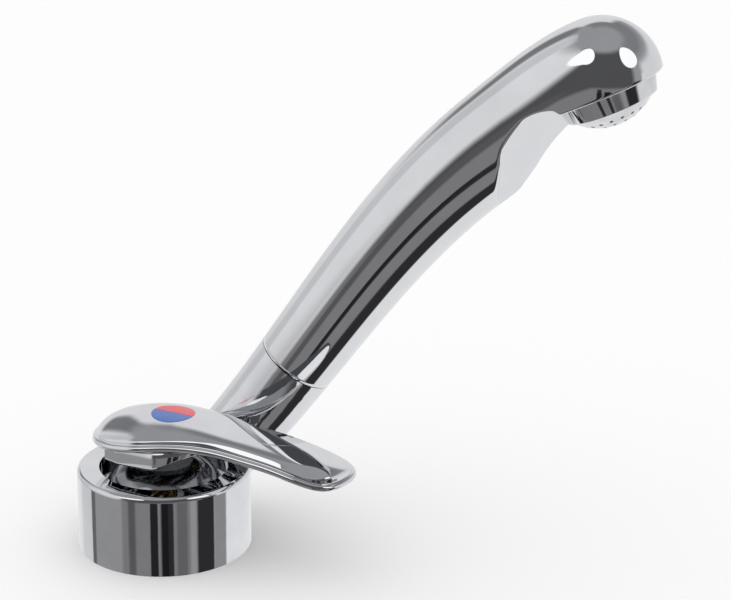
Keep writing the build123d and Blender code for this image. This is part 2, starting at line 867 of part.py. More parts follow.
with BuildPart() as shell:
    for t in grip_steps:
        with BuildSketch(spout_plane(t, joint_gap if t == joint_place else 0.0)):
            Circle(spout_radius(t))
    with BuildSketch(across_plane(0, head_shoulder)):
        Circle(head_radius - dome_join)
    loft()
    add(dome_profile(0))
    revolve(axis=head_axis)
    add(scoop_space(0), mode=Mode.SUBTRACT)
    add(hollow.part, mode=Mode.SUBTRACT)
    with BuildSketch(head_plane(-collar_height)):
        Circle(collar_tip_radius + collar_clearance)
    with BuildSketch(head_plane(0)):
        Circle(collar_radius + collar_clearance)
    loft(mode=Mode.SUBTRACT)
    with BuildSketch(head_plane(0)):
        Circle(collar_spigot_radius + collar_clearance)
    extrude(amount=collar_seat + collar_clearance, mode=Mode.SUBTRACT)
shell.part.label = "handset_shell"
export_step(shell.part, "parts/handset_shell.step")

# Collar that screws into the head and frames the spray plate
collar_inner = collar_tip_radius - collar_wall
with BuildPart() as collar:
    with BuildSketch(head_section):
        Polygon(
            (collar_radius, 0),
            (collar_spigot_radius, 0),
            (collar_spigot_radius, collar_seat),
            (chamber_radius + collar_clearance, collar_seat),
            (chamber_radius + collar_clearance, 0),
            (collar_inner, 0),
            (collar_inner, -collar_height),
            (collar_tip_radius, -collar_height),
            align=None,
        )
    revolve(axis=head_axis)
    fillet(collar.edges().filter_by(GeomType.CIRCLE).sort_by(head_axis)[0:2], collar_edge_round)
collar.part.label = "spray_collar"
export_step(collar.part, "parts/spray_collar.step")

# Spray plate: a bulging face with rings of nozzles
plate_radius = collar_inner - plate_clearance
bulge_radius = (plate_radius**2 + plate_bulge**2) / (2 * plate_bulge)
with BuildPart() as spray:
    with BuildSketch(head_section):
        with BuildLine():
            Line((0, -collar_height - plate_bulge), (0, plate_thickness - collar_height - plate_bulge))
            RadiusArc(
                (0, plate_thickness - collar_height - plate_bulge),
                (plate_radius - plate_thickness, plate_thickness / 3 - collar_height),
                -(bulge_radius - plate_thickness),
            )
            Polyline(
                (plate_radius - plate_thickness, plate_thickness / 3 - collar_height),
                (plate_radius - plate_thickness, plate_skirt - collar_height),
                (plate_radius, plate_skirt - collar_height),
                (plate_radius, -collar_height),
            )
            RadiusArc((plate_radius, -collar_height), (0, -collar_height - plate_bulge), bulge_radius)
        make_face()
    revolve(axis=head_axis)
    with BuildSketch(head_plane(-collar_height - 2 * plate_bulge)):
        Circle(spray_hole_radius)
        for ring in range(1, spray_rings + 1):
            with PolarLocations(ring * spray_ring_gap, 6 * ring):
                Circle(spray_hole_radius)
    extrude(amount=2 * plate_bulge + plate_thickness, mode=Mode.SUBTRACT)
spray.part.label = "spray_plate"
export_step(spray.part, "parts/spray_plate.step")

# Diffuser behind the spray plate
with BuildPart() as diffuser:
    with BuildSketch(head_plane(-diffuser_gap - diffuser_thickness)):
        Circle(plate_radius)
        with PolarLocations(spray_ring_gap * spray_rings * 2 / 3, diffuser_holes):
            Circle(diffuser_hole_radius, mode=Mode.SUBTRACT)
    extrude(amount=diffuser_thickness)
diffuser.part.label = "spray_diffuser"
export_step(diffuser.part, "parts/spray_diffuser.step")

# Chamber over the diffuser, with the elbow that the water tube enters
with BuildPart() as chamber:
    with BuildSketch(head_plane(0)):
        Circle(chamber_radius)
    extrude(amount=chamber_height)
    with BuildSketch(across_plane(-elbow_back, elbow_height)):
        Circle(elbow_radius)
    extrude(amount=elbow_back + elbow_front)
    with BuildSketch(head_plane(0)):
        Circle(chamber_radius - chamber_roof)
    extrude(amount=chamber_height - chamber_roof, mode=Mode.SUBTRACT)
    with BuildSketch(across_plane(-elbow_back, elbow_height)):
        Circle(tube_radius + tube_clearance)
    extrude(amount=tube_seat, mode=Mode.SUBTRACT)
    with BuildSketch(across_plane(-elbow_back, elbow_height)):
        Circle(tube_bore)
    extrude(amount=elbow_back + tube_bore / 2, mode=Mode.SUBTRACT)
    with BuildSketch(head_plane(0)):
        Circle(tube_bore / 2)
    extrude(amount=elbow_height, mode=Mode.SUBTRACT)
chamber.part.label = "spray_chamber"
export_step(chamber.part, "parts/spray_chamber.step")

# Water tube from the spigot to the chamber
tube_path_places = (0.40, 0.52, 0.64)
tube_first = spout_plane(joint_place, spigot_head - tube_seat).origin
approach = head_side(*elbow_approach)
tube_last = across_plane(tube_seat - elbow_back, elbow_height).origin
with BuildPart() as tube:
    with BuildLine() as route:
        Spline(
            tube_first,
            *[spout_plane(t).origin for t in tube_path_places],
            (approach[0], spout_offset, approach[1]),
            tube_last,
            tangents=[spout_plane(joint_place).z_dir, Vector(side_x)],
        )
    with BuildSketch(spout_plane(joint_place, spigot_head - tube_seat)):
        Circle(tube_radius)
        Circle(tube_bore, mode=Mode.SUBTRACT)
    sweep()
tube.part.label = "water_tube"
export_step(tube.part, "parts/water_tube.step")

# Docking spigot under the grip: head, tapered shank, seal grooves and bores
spigot_inner = spout_radius(joint_place) - shell_wall
spigot_tip = spigot_radius - spigot_taper
with BuildPart() as spigot:
    with BuildSketch(spout_plane(joint_place, joint_gap)):
        Circle(spigot_inner - spigot_fit)
    extrude(amount=spigot_head - joint_gap)
    with BuildSketch(spout_plane(joint_place, joint_gap)):
        Circle(spigot_radius)
    with BuildSketch(spout_plane(joint_place, -spigot_length)):
        Circle(spigot_tip)
    loft()
    for place in seal_places:
        with BuildSketch(spout_plane(joint_place, -place - seal_wire / 2 - seal_fit)):
            Circle(spigot_radius)
            Circle(seal_centre - seal_wire / 2 - seal_fit, mode=Mode.SUBTRACT)
        extrude(amount=seal_wire + 2 * seal_fit, mode=Mode.SUBTRACT)
    with BuildSketch(spout_plane(joint_place, spigot_head)):
        Circle(tube_radius + tube_clearance)
    extrude(amount=-tube_seat, mode=Mode.SUBTRACT)
    with BuildSketch(spout_plane(joint_place, spigot_head)):
        Circle(spigot_bore)
    extrude(amount=-spigot_head - spigot_length, mode=Mode.SUBTRACT)
    with BuildSketch(spout_plane(joint_place, -spigot_length)):
        Circle(valve_radius + valve_fit)
    extrude(amount=nipple_stem + valve_length, mode=Mode.SUBTRACT)
    with BuildSketch(spout_plane(joint_place, -spigot_length)):
        Circle(nipple_stem_radius + valve_fit)
    extrude(amount=nipple_stem, mode=Mode.SUBTRACT)
spigot.part.label = "docking_spigot"
export_step(spigot.part, "parts/docking_spigot.step")

with BuildPart() as spigot_seals:
    for place in seal_places:
        ring_plane = spout_plane(joint_place, -place)
        with BuildSketch(Plane(origin=ring_plane.origin, x_dir=(0, 1, 0), z_dir=ring_plane.y_dir)):
            with Locations((seal_centre, 0)):
                Circle(seal_wire / 2)
        revolve(axis=Axis(ring_plane.origin, ring_plane.z_dir))
spigot_seals.part.label = "spigot_seals"
export_step(spigot_seals.part, "parts/spigot_seals.step")

# Non-return valve and the hose nipple that holds it in
with BuildPart() as valve:
    with BuildSketch(spout_plane(joint_place, nipple_stem - spigot_length)):
        Circle(valve_radius)
        Circle(valve_radius - valve_wall, mode=Mode.SUBTRACT)
    extrude(amount=valve_length)
    with BuildSketch(spout_plane(joint_place, nipple_stem - spigot_length + valve_length / 3)):
        Circle(valve_radius)
    extrude(amount=valve_wall)
valve.part.label = "non_return_valve"
export_step(valve.part, "parts/non_return_valve.step")

with BuildPart() as nipple:
    with BuildSketch(spout_plane(joint_place, -spigot_length - nipple_length)):
        Circle(nipple_radius)
    extrude(amount=nipple_length)
    with BuildSketch(spout_plane(joint_place, -spigot_length)):
        Circle(nipple_stem_radius)
    extrude(amount=nipple_stem)
    with BuildSketch(spout_plane(joint_place, -spigot_length - nipple_length)):
        Circle(spigot_bore)
    extrude(amount=nipple_length + nipple_stem, mode=Mode.SUBTRACT)
    low_circles = nipple.edges().filter_by(GeomType.CIRCLE).sort_by(Axis.Z)[0:2]
    chamfer(low_circles.sort_by(SortBy.RADIUS)[-1], nipple_chamfer)
nipple.part.label = "hose_nipple"
export_step(nipple.part, "parts/hose_nipple.step")

# Guide bush pressed in the holder
with BuildPart() as bush:
    with BuildSketch(spout_plane(joint_place, -spigot_length)):
        Circle(bush_outer)
        Circle(bush_inner, mode=Mode.SUBTRACT)
    extrude(amount=spigot_length - bush_depth)
bush.part.label = "guide_bush"
export_step(bush.part, "parts/guide_bush.step")

# Shank through the worktop, its washers and nut
with BuildPart() as shank:
    with BuildSketch(Plane.XY.offset(shank_engagement)):
        with Locations(shank_centre):
            Circle(shank_radius)
            Circle(shank_radius - shank_wall, mode=Mode.SUBTRACT)
    extrude(amount=-shank_engagement - shank_length)
shank.part.label = "mounting_shank"
export_step(shank.part, "parts/mounting_shank.step")

washer_bore = shank_radius + washer_clearance
with BuildPart() as rubber_washer:
    with BuildSketch(Plane.XY.offset(-worktop)):
        with Locations(shank_centre):
            Circle(rubber_washer_radius)
            Circle(washer_bore, mode=Mode.SUBTRACT)
    extrude(amount=-rubber_washer_height)
rubber_washer.part.label = "rubber_washer"
export_step(rubber_washer.part, "parts/rubber_washer.step")

with BuildPart() as steel_washer:
    with BuildSketch(Plane.XY.offset(-worktop - rubber_washer_height)):
        with Locations(shank_centre):
            Circle(steel_washer_radius)
            Circle(washer_bore, mode=Mode.SUBTRACT)
    extrude(amount=-steel_washer_height)
steel_washer.part.label = "steel_washer"
export_step(steel_washer.part, "parts/steel_washer.step")

with BuildPart() as fixing_nut:
    with BuildSketch(Plane.XY.offset(-worktop - rubber_washer_height - steel_washer_height)):
        with Locations(shank_centre):
            RegularPolygon(fixing_nut_flats / 2, 6, major_radius=False)
            Circle(shank_radius + fixing_nut_clearance, mode=Mode.SUBTRACT)
    extrude(amount=-fixing_nut_height)
fixing_nut.part.label = "fixing_nut"
export_step(fixing_nut.part, "parts/fixing_nut.step")

# Supply tails and the tail that feeds the shower, each with a stub for its fitting
for name, place in tails.items():
    with BuildPart() as tail:
        with BuildSketch(Plane.XY.offset(tail_socket)):
            with Locations(place):
                Circle(tail_radius)
                Circle(tail_bore, mode=Mode.SUBTRACT)
        extrude(amount=-tail_socket - tail_length)
        with BuildSketch(Plane.XY.offset(-tail_length)):
            with Locations(place):
                Circle(tail_stub_radius)
                Circle(tail_bore, mode=Mode.SUBTRACT)
        extrude(amount=tail_stub_length)
    tail.part.label = name
    export_step(tail.part, f"parts/{name}.step")
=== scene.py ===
import math

import bpy
import numpy as np
from mathutils import Matrix, Vector


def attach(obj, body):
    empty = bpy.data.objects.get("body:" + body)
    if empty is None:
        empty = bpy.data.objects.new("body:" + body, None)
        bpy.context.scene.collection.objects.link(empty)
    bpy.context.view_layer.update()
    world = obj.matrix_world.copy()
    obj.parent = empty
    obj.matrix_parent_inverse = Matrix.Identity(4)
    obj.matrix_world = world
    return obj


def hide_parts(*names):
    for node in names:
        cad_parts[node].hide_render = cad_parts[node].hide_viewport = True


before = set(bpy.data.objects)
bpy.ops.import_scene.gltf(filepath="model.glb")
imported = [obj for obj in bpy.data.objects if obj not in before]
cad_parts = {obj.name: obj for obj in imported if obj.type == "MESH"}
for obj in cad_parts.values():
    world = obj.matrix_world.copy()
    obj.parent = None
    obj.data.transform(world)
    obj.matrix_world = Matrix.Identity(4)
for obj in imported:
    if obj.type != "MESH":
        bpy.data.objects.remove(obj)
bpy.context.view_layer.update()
scene = bpy.context.scene
scene.view_settings.view_transform = "Standard"

# Photograph: its width and the camera's focal length in pixels, where the camera stood, in
# metres, and how it was turned, in degrees
PHOTO_WIDTH = 731
SENSOR_WIDTH = 36.0
FOCAL_PIXELS = 2027.0
CAMERA_PLACE = Vector((0.2208, -0.6122, 0.3069))
CAMERA_YAW = 13.751
CAMERA_PITCH = 18.586
CAMERA_ROLL = 0.778
CAMERA_NEAREST = 0.01


def add_camera():
    """Camera at the photograph's place: turned by its yaw, tipped down by its pitch, then rolled."""
    yaw, pitch, roll = (math.radians(a) for a in (CAMERA_YAW, CAMERA_PITCH, CAMERA_ROLL))
    flat = math.cos(pitch)
    look = Vector((-math.sin(yaw) * flat, math.cos(yaw) * flat, -math.sin(pitch)))
    level = Vector((math.cos(yaw), math.sin(yaw), 0))
    right = math.cos(roll) * level + math.sin(roll) * level.cross(look)
    up = right.cross(look)
    data = bpy.data.cameras.new("camera")
    data.sensor_width = SENSOR_WIDTH
    data.lens = FOCAL_PIXELS * SENSOR_WIDTH / PHOTO_WIDTH
    data.clip_start = CAMERA_NEAREST
    camera = bpy.data.objects.new("camera", data)
    turn = Matrix((right, up, -look)).transposed().to_4x4()
    camera.matrix_world = Matrix.Translation(CAMERA_PLACE) @ turn
    scene.collection.objects.link(camera)
    scene.camera = camera


add_camera()


# Materials
def rgb(code):
    """Linear colour with alpha 1 from an sRGB hex code, by the sRGB curve."""
    values = [int(code[i : i + 2], 16) / 255 for i in (1, 3, 5)]
    linear = [v / 12.92 if v <= 0.04045 else ((v + 0.055) / 1.055) ** 2.4 for v in values]
    return (*linear, 1.0)


def node(tree, kind, settings=None, inputs=None):
    """A shader node with its settings; each input is linked to a socket or given a value."""
    made = tree.nodes.new(kind)
    for key, value in (settings or {}).items():
        setattr(made, key, value)
    for key, value in (inputs or {}).items():
        if isinstance(value, bpy.types.NodeSocket):
            tree.links.new(value, made.inputs[key])
        else:
            made.inputs[key].default_value = value
    return made


def new_material(name):
    """Empty node material and its output."""
    material = bpy.data.materials.new(name)
    material.use_nodes = True
    material.node_tree.nodes.clear()
    out = node(material.node_tree, "ShaderNodeOutputMaterial")
    return material, material.node_tree, out


MILLIMETRE = 0.001
# Colour inputs and output of a Mix node
MIX_A, MIX_B, MIX_COLOUR = 6, 7, 2
# The product of grain and cloud runs between these, which become the two ends of a finish
GRAIN_LOW, GRAIN_HIGH = 0.12, 0.40
GRAIN_DETAIL = 4.0
CLOUD_DETAIL = 3.0


def finish(
    name, light, dark, metallic, gloss, grain, relief, stretch=(1, 1, 1), cloud=18.0, coat=0.0
):
    """Finish whose colour runs between two tints, whose roughness runs between the two values of
    gloss, and whose relief is a fine grain: grain, relief and cloud are sizes in millimetres, and
    stretch squeezes the grain along an axis where it is above 1."""
    material, tree, out = new_material(name)
    place = node(tree, "ShaderNodeTexCoord").outputs["Object"]
    drawn = node(tree, "ShaderNodeMapping", inputs={"Vector": place, "Scale": stretch}).outputs[0]
    fine, broad = (
        node(
            tree,
            "ShaderNodeTexNoise",
            inputs={"Vector": at, "Scale": 1 / (size * MILLIMETRE), "Detail": detail},
        ).outputs["Fac"]
        for at, size, detail in ((drawn, grain, GRAIN_DETAIL), (place, cloud, CLOUD_DETAIL))
    )
    both = node(tree, "ShaderNodeMath", {"operation": "MULTIPLY"}, {0: fine, 1: broad}).outputs[0]
    limits = {"Value": both, "From Min": GRAIN_LOW, "From Max": GRAIN_HIGH}
    share = node(tree, "ShaderNodeMapRange", inputs=limits).outputs[0]
    tints = {0: share, MIX_A: rgb(dark), MIX_B: rgb(light)}
    tint = node(tree, "ShaderNodeMix", {"data_type": "RGBA"}, tints).outputs[MIX_COLOUR]
    ends = {"Value": share, "To Min": gloss[1], "To Max": gloss[0]}
    haze = node(tree, "ShaderNodeMapRange", inputs=ends).outputs[0]
    waves = {"Height": fine, "Distance": relief * MILLIMETRE}
    bump = node(tree, "ShaderNodeBump", inputs=waves).outputs[0]
    looks = {"Base Color": tint, "Metallic": metallic, "Roughness": haze, "Normal": bump}
    shader = node(tree, "ShaderNodeBsdfPrincipled", inputs={**looks, "Coat Weight": coat})
    tree.links.new(shader.outputs[0], out.inputs["Surface"])
    return material


# Chrome plated brass casting, buffed by hand before plating: a mirror whose reflections waver
# a little over waves some millimetres long, with a faint haze where it was wiped
PLATING = finish(
    "chrome_plated_casting", "#E6E7E9", "#DCDDE0", 1.0, (0.02, 0.05), 9.0, 0.02, cloud=26.0
)
# Chrome plated zinc die casting: the same mirror with slightly longer waves from the die
LEVER_PLATING = finish(
    "chrome_plated_zinc", "#E7E8EA", "#DDDEE1", 1.0, (0.02, 0.05), 11.0, 0.012, cloud=30.0
)
# Chrome plated moulded shell: very even mirror, with the long soft waves of the mould
SHELL_PLATING = finish(
    "chrome_plated_shell", "#E6E7E9", "#DEDFE1", 1.0, (0.02, 0.045), 14.0, 0.012, cloud=34.0
)
# Chrome plated cap down in the well, spun and rougher than the casting; its dark tint is painted
# shade, for the well's shade under the lever: soft dark mirror
SHADE_PAINTED_CAP_PLATING = finish(
    "chrome_cap_painted_shade", "#9B9C9F", "#85868A", 1.0, (0.10, 0.18), 5.0, 0.004, cloud=12.0
)
# Chrome plated trim of the spray: bright mirror with finer mould marks
TRIM_PLATING = finish(
    "chrome_plated_trim", "#E2E3E5", "#D5D6D9", 1.0, (0.025, 0.06), 5.0, 0.003, cloud=10.0
)
# Turned brass: warm yellow with turning rings across its axis, coarser than real ones so that
# they show
BRASS = finish(
    "turned_brass", "#D9B66A", "#B68C45", 1.0, (0.18, 0.32), 1.2, 0.02, stretch=(0.2, 0.2, 6)
)
# Drawn copper pipe: orange brown, with long draw lines, coarser than real ones so that they
# show, and darker oxide clouds
COPPER = finish(
    "drawn_copper", "#D58B62", "#9A573A", 1.0, (0.22, 0.40), 1.5, 0.015, stretch=(3, 3, 0.1)
)
# Zinc plated steel, stamped: pale grey with a fine mottle
STEEL = finish("zinc_plated_steel", "#B9BBBE", "#8F9296", 1.0, (0.24, 0.42), 0.8, 0.012)
# Moulded rubber: near black and matt, with mould dust
RUBBER = finish("moulded_rubber", "#2B2B2C", "#171718", 0.0, (0.62, 0.82), 0.6, 0.02)
# Natural acetal, moulded: milky white with a soft shine
WHITE_ACETAL = finish("white_acetal", "#EEEDE8", "#DEDCD5", 0.0, (0.30, 0.42), 0.9, 0.01)
# Grey acetal, moulded: mid grey with the same soft shine
GREY_ACETAL = finish("grey_acetal", "#74777B", "#5D6064", 0.0, (0.32, 0.46), 0.9, 0.01)
# Lapped alumina: dense white ceramic with a fine even sheen
CERAMIC = finish("lapped_ceramic", "#F1EFE9", "#E4E1D8", 0.0, (0.14, 0.22), 0.5, 0.003)
# Hot and cold enamel, printed and lacquered: strong even colour under a thin clear coat
RED = finish("red_enamel", "#EC5560", "#E04A56", 0.0, (0.30, 0.42), 0.5, 0.004, coat=0.35)
BLUE = finish("blue_enamel", "#4D76C2", "#4069B4", 0.0, (0.30, 0.42), 0.5, 0.004, coat=0.35)

# Finishes of the CAD part's nodes
NODE_FINISHES = (
    (PLATING, "base_body"),
    (LEVER_PLATING, "lever_handle"),
    (SHELL_PLATING, "handset_shell"),
    (SHADE_PAINTED_CAP_PLATING, "cartridge_cap"),
    (TRIM_PLATING, "spray_plate spray_collar"),
    (BRASS, "mounting_shank fixing_nut cartridge_nut lever_stem hose_nipple"),
    (COPPER, "hot_tail cold_tail outlet_tail"),
    (STEEL, "steel_washer pivot_pin grub_screw"),
    (RUBBER, "rubber_washer base_gasket cartridge_seals spigot_seals"),
    (WHITE_ACETAL, "guide_bush cartridge_housing cartridge_plate"),
    (WHITE_ACETAL, "non_return_valve water_tube spray_diffuser"),
    (GREY_ACETAL, "cartridge_carrier disc_driver docking_spigot spray_chamber"),
    (CERAMIC, "fixed_ceramic_disc moving_ceramic_disc"),
    (RED, "hot_marker"),
    (BLUE, "cold_marker"),
)
for material, names in NODE_FINISHES:
    for name in names.split():
        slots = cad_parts[name].data.materials
        slots.clear()
        slots.append(material)


# Shapes, worked out in millimetres
# Points that agree to this many decimals are made one
MERGE_DECIMALS = 4
# Distances that differ by less than this are equal
TIE = 1e-6


def spline_through(places, values):
    """Natural cubic spline through the points: piecewise cubics whose slope and curvature run on."""
    x, y = np.array(places, float), np.array(values, float)
    gap = np.diff(x)
    size = len(x)
    rows = np.eye(size)
    right = np.zeros(size)
    for k in range(1, size - 1):
        rows[k, k - 1 : k + 2] = gap[k - 1], 2 * (gap[k - 1] + gap[k]), gap[k]
        right[k] = 6 * ((y[k + 1] - y[k]) / gap[k] - (y[k] - y[k - 1]) / gap[k - 1])
    bend = np.linalg.solve(rows, right)

    def value(at):
        at = np.clip(at, x[0], x[-1])
        k = np.clip(np.searchsorted(x, at) - 1, 0, size - 2)
        h, a, b = gap[k], x[k + 1] - at, at - x[k]
        cubic = bend[k] * a**3 / (6 * h) + bend[k + 1] * b**3 / (6 * h)
        return cubic + (y[k] / h - bend[k] * h / 6) * a + (y[k + 1] / h - bend[k + 1] * h / 6) * b

    return value


def loop_through(points, count):
    """Closed uniform cubic B-spline through the points, sampled evenly in its own measure."""
    points = np.array(points, float)
    size = len(points)
    step = np.arange(size)
    weights = np.zeros((size, size))
    weights[step, step] = 4 / 6
    weights[step, (step + 1) % size] = 1 / 6
    weights[step, (step - 1) % size] = 1 / 6
    control = np.linalg.solve(weights, points)
    at = np.arange(count) * size / count
    k = at.astype(int)
    f = (at - k)[:, None]
    a, b, c, d = (control[(k + shift) % size] for shift in (-1, 0, 1, 2))
    first, second = (1 - f) ** 3, 3 * f**3 - 6 * f**2 + 4
    third, fourth = -3 * f**3 + 3 * f**2 + 3 * f + 1, f**3
    return (first * a + second * b + third * c + fourth * d) / 6


def outwards(loop):
    """Unit vectors square to a closed loop in plan that turns left, pointing out of it."""
    ahead = np.roll(loop, -1, 0) - np.roll(loop, 1, 0)
    out = np.stack([-ahead[:, 1], ahead[:, 0]], -1)
    return -out / np.linalg.norm(out, axis=1)[:, None]


def ease(value, start, end):
    """0 before start, 1 after end, and a smooth cubic step between."""
    share = np.clip((value - start) / (end - start), 0, 1)
    return share * share * (3 - 2 * share)


def soft_min(a, b, width):
    """Lower of the two, rounded by a parabola where they differ by less than width."""
    share = np.clip(0.5 + 0.5 * (b - a) / width, 0, 1)
    return b + (a - b) * share - width * share * (1 - share)


def skin(name, rings, material, body, replaced=()):
    """Surface through closed rings of points, in millimetres: quads join each ring to the next,
    points that fall together are made one, a quad with one such side becomes a triangle, one with
    more is left out, and the faces are turned outwards, so that the volume inside is positive."""
    count, around = rings.shape[:2]
    rounded = np.round(rings.reshape(-1, 3), MERGE_DECIMALS)
    points, index = np.unique(rounded, axis=0, return_inverse=True)
    index = index.reshape(count, around)
    near, far = index[:-1], index[1:]
    quads = np.stack([near, np.roll(near, -1, 1), np.roll(far, -1, 1), far], -1).reshape(-1, 4)
    same = quads == np.roll(quads, -1, 1)
    whole = quads[same.sum(1) == 0]
    bent = same.sum(1) == 1
    keep = np.argsort(same[bent], axis=1, kind="stable")[:, :3]
    thin = np.take_along_axis(quads[bent], np.sort(keep, 1), 1)
    halves = np.concatenate([whole[:, [0, 1, 2]], whole[:, [0, 2, 3]], thin])
    a, b, c = (points[halves[:, k]] for k in range(3))
    if np.einsum("ij,ij->i", a, np.cross(b, c)).sum() < 0:
        whole, thin = whole[:, ::-1], thin[:, ::-1]
    corners = np.concatenate([whole.ravel(), thin.ravel()])
    sizes = np.concatenate([np.full(len(whole), 4), np.full(len(thin), 3)])
    starts = np.cumsum(sizes) - sizes
    mesh = bpy.data.meshes.new(name)
    mesh.vertices.add(len(points))
    mesh.vertices.foreach_set("co", (points * MILLIMETRE).ravel())
    mesh.loops.add(len(corners))
    mesh.loops.foreach_set("vertex_index", corners.astype(np.int32))
    mesh.polygons.add(len(starts))
    mesh.polygons.foreach_set("loop_start", starts.astype(np.int32))
    mesh.polygons.foreach_set("loop_total", sizes.astype(np.int32))
    mesh.update(calc_edges=True)
    mesh.validate()
    mesh.polygons.foreach_set("use_smooth", np.ones(len(mesh.polygons), bool))
    mesh.materials.append(material)
    piece = bpy.data.objects.new(name, mesh)
    scene.collection.objects.link(piece)
    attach(piece, body)
    if replaced:
        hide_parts(*replaced)


# Lever
# Its frame: u along the lever, v across it towards the spout, z up
LEVER_TURN = math.radians(-11.0)
LEVER_ALONG = np.array([math.cos(LEVER_TURN), math.sin(LEVER_TURN), 0])
LEVER_ACROSS = np.array([-math.sin(LEVER_TURN), math.cos(LEVER_TURN), 0])

# Points (u, v, z) that the lever's rim passes, from the rear round the near side
LEVER_RIM = (
    (-23.2, 0.0, 40.2),
    (-21.2, -9.0, 40.2),
    (-15.6, -15.4, 40.6),
    (-7.6, -18.4, 41.6),
    (1.0, -18.5, 42.9),
    (9.5, -16.1, 43.7),
    (18.0, -13.7, 43.9),
    (27.0, -12.3, 43.6),
    (36.0, -12.0, 42.8),
    (45.0, -12.0, 41.9),
    (53.5, -11.9, 40.4),
    (61.0, -11.1, 38.6),
    (66.7, -7.9, 37.5),
    (69.2, -1.0, 37.3),
    (68.7, 6.4, 37.3),
    (63.8, 11.3, 38.0),
    (56.0, 12.3, 39.8),
    (47.5, 12.4, 41.5),
    (38.5, 12.4, 42.8),
    (29.5, 12.6, 43.4),
    (20.5, 13.8, 43.9),
    (11.0, 16.2, 43.7),
    (2.0, 18.4, 42.9),
    (-6.8, 17.8, 41.7),
    (-14.3, 14.9, 40.7),
    (-20.5, 9.0, 40.3),
)
RIM_COUNT = 640
RIM = loop_through(LEVER_RIM, RIM_COUNT)
# Ends, along u, of the straight spine from which the crown's rows run out to the rim, how many
# rows there are, and how much they crowd at the spine
SPINE = (-4.0, 59.0)
CROWN_ROWS = 92
CROWN_CROWDING = 1.15

# Height of the crown's middle line along u, and how much it bows down across
CROWN = spline_through(
    (-26, -15, -5, 4, 14, 20, 26, 35, 43, 50, 57, 62, 66, 71),
    (47.2, 47.75, 48.15, 48.25, 47.95, 47.5, 46.95, 46.1, 45.2, 44.2, 42.9, 41.9, 40.8, 38.9),
)
CROWN_BOW = 0.0078
# The crown's section is 1 - share**power to the power 1/root: round at the rear, fuller over
# the hub, and nearly flat with a tight turn on the arm. Each stretch eases in along u.
REAR_POWER, REAR_ROOT = 2.05, 1.75
HUB_POWER, HUB_ROOT = 0.6, 0.7
ARM_POWER, ARM_ROOT = 4.8, 1.3
HUB_STRETCH = (-14, 2)
ARM_STRETCH = (8, 34)

# Near flank and far facet: slopes, half widths from the middle to the rim, run on smoothly
# past the tip's turn, and the rim's heights that they stand on
NEAR_SLOPE = spline_through(
    (-26, 0, 12, 26, 35, 44, 53, 62, 72),
    (6, 6, 4, 1.9, 1.5, 1.25, 1.0, 0.74, 0.6),
)
FAR_SLOPE = spline_through(
    (-26, 0, 8, 14, 20, 25, 35, 45, 54, 72),
    (6, 4, 2.2, 1.2, 0.87, 0.68, 0.43, 0.33, 0.30, 0.28),
)
NEAR_HALF = spline_through(
    (-26, -15, -7, 1, 9.5, 18, 27, 36, 45, 53.5, 61, 66, 72),
    (18.5, 18.7, 18.8, 18.6, 16.4, 14.0, 12.6, 12.3, 12.3, 12.2, 11.6, 11.1, 10.3),
)
FAR_HALF = spline_through(
    (-26, -15, -7, 2, 11, 20.5, 29.5, 38.5, 47.5, 56, 63, 68, 72),
    (18.4, 18.5, 18.6, 18.4, 16.4, 14.0, 12.8, 12.6, 12.6, 12.4, 11.9, 11.4, 10.9),
)
NEAR_FOOT = spline_through(
    (-26, -15.6, -7.6, 1, 9.5, 18, 27, 36, 45, 53.5, 61, 66.7, 72),
    (40.2, 40.6, 41.6, 42.9, 43.7, 43.9, 43.6, 42.8, 41.9, 40.4, 38.6, 37.5, 36.8),
)
FAR_FOOT = spline_through(
    (-26, -15, -7, 2, 11, 20.5, 29.5, 38.5, 47.5, 56, 63.8, 68.7, 72),
    (40.2, 40.7, 41.7, 42.9, 43.7, 43.9, 43.4, 42.8, 41.5, 39.8, 38.0, 37.1, 36.6),
)
# Far facet: its width, and how deep it is hollowed, which eases in along u
FACET_WIDTH = spline_through(
    (-26, 0, 14, 25, 35, 45, 54, 63, 72),
    (2, 2, 2.6, 4.5, 8, 12.6, 15.4, 17, 18),
)
FACET_HOLLOW = 0.45
HOLLOW_STRETCH = (20, 45)
# Rounding of the ridge, and what the tip adds to it
RIDGE_ROUND = 0.45
TIP_ROUND = 0.8
TIP_STRETCH = (56, 66)

# Bead under the rim: its radius, how far its middle is outside and below the rim, and its arc
# in degrees
BEAD_RADIUS = 1.2
BEAD_STEP = 0.35
BEAD_DROP = 1.75
BEAD_SWEEP = (105, -90)
BEAD_ROWS = 15
# Wall under the crown and at the rim, and the share of the way out at which the inside starts
LEVER_WALL = 2.2
RIM_WALL = 2.9
INNER_SHARE = 0.9
INNER_ROWS = 14


def lever_place(u, v, z):
    """World place, in millimetres, of (u, v, z) in the lever's frame."""
    flat = u[..., None] * LEVER_ALONG + v[..., None] * LEVER_ACROSS
    return flat + np.stack([0 * z, 0 * z, z], -1)


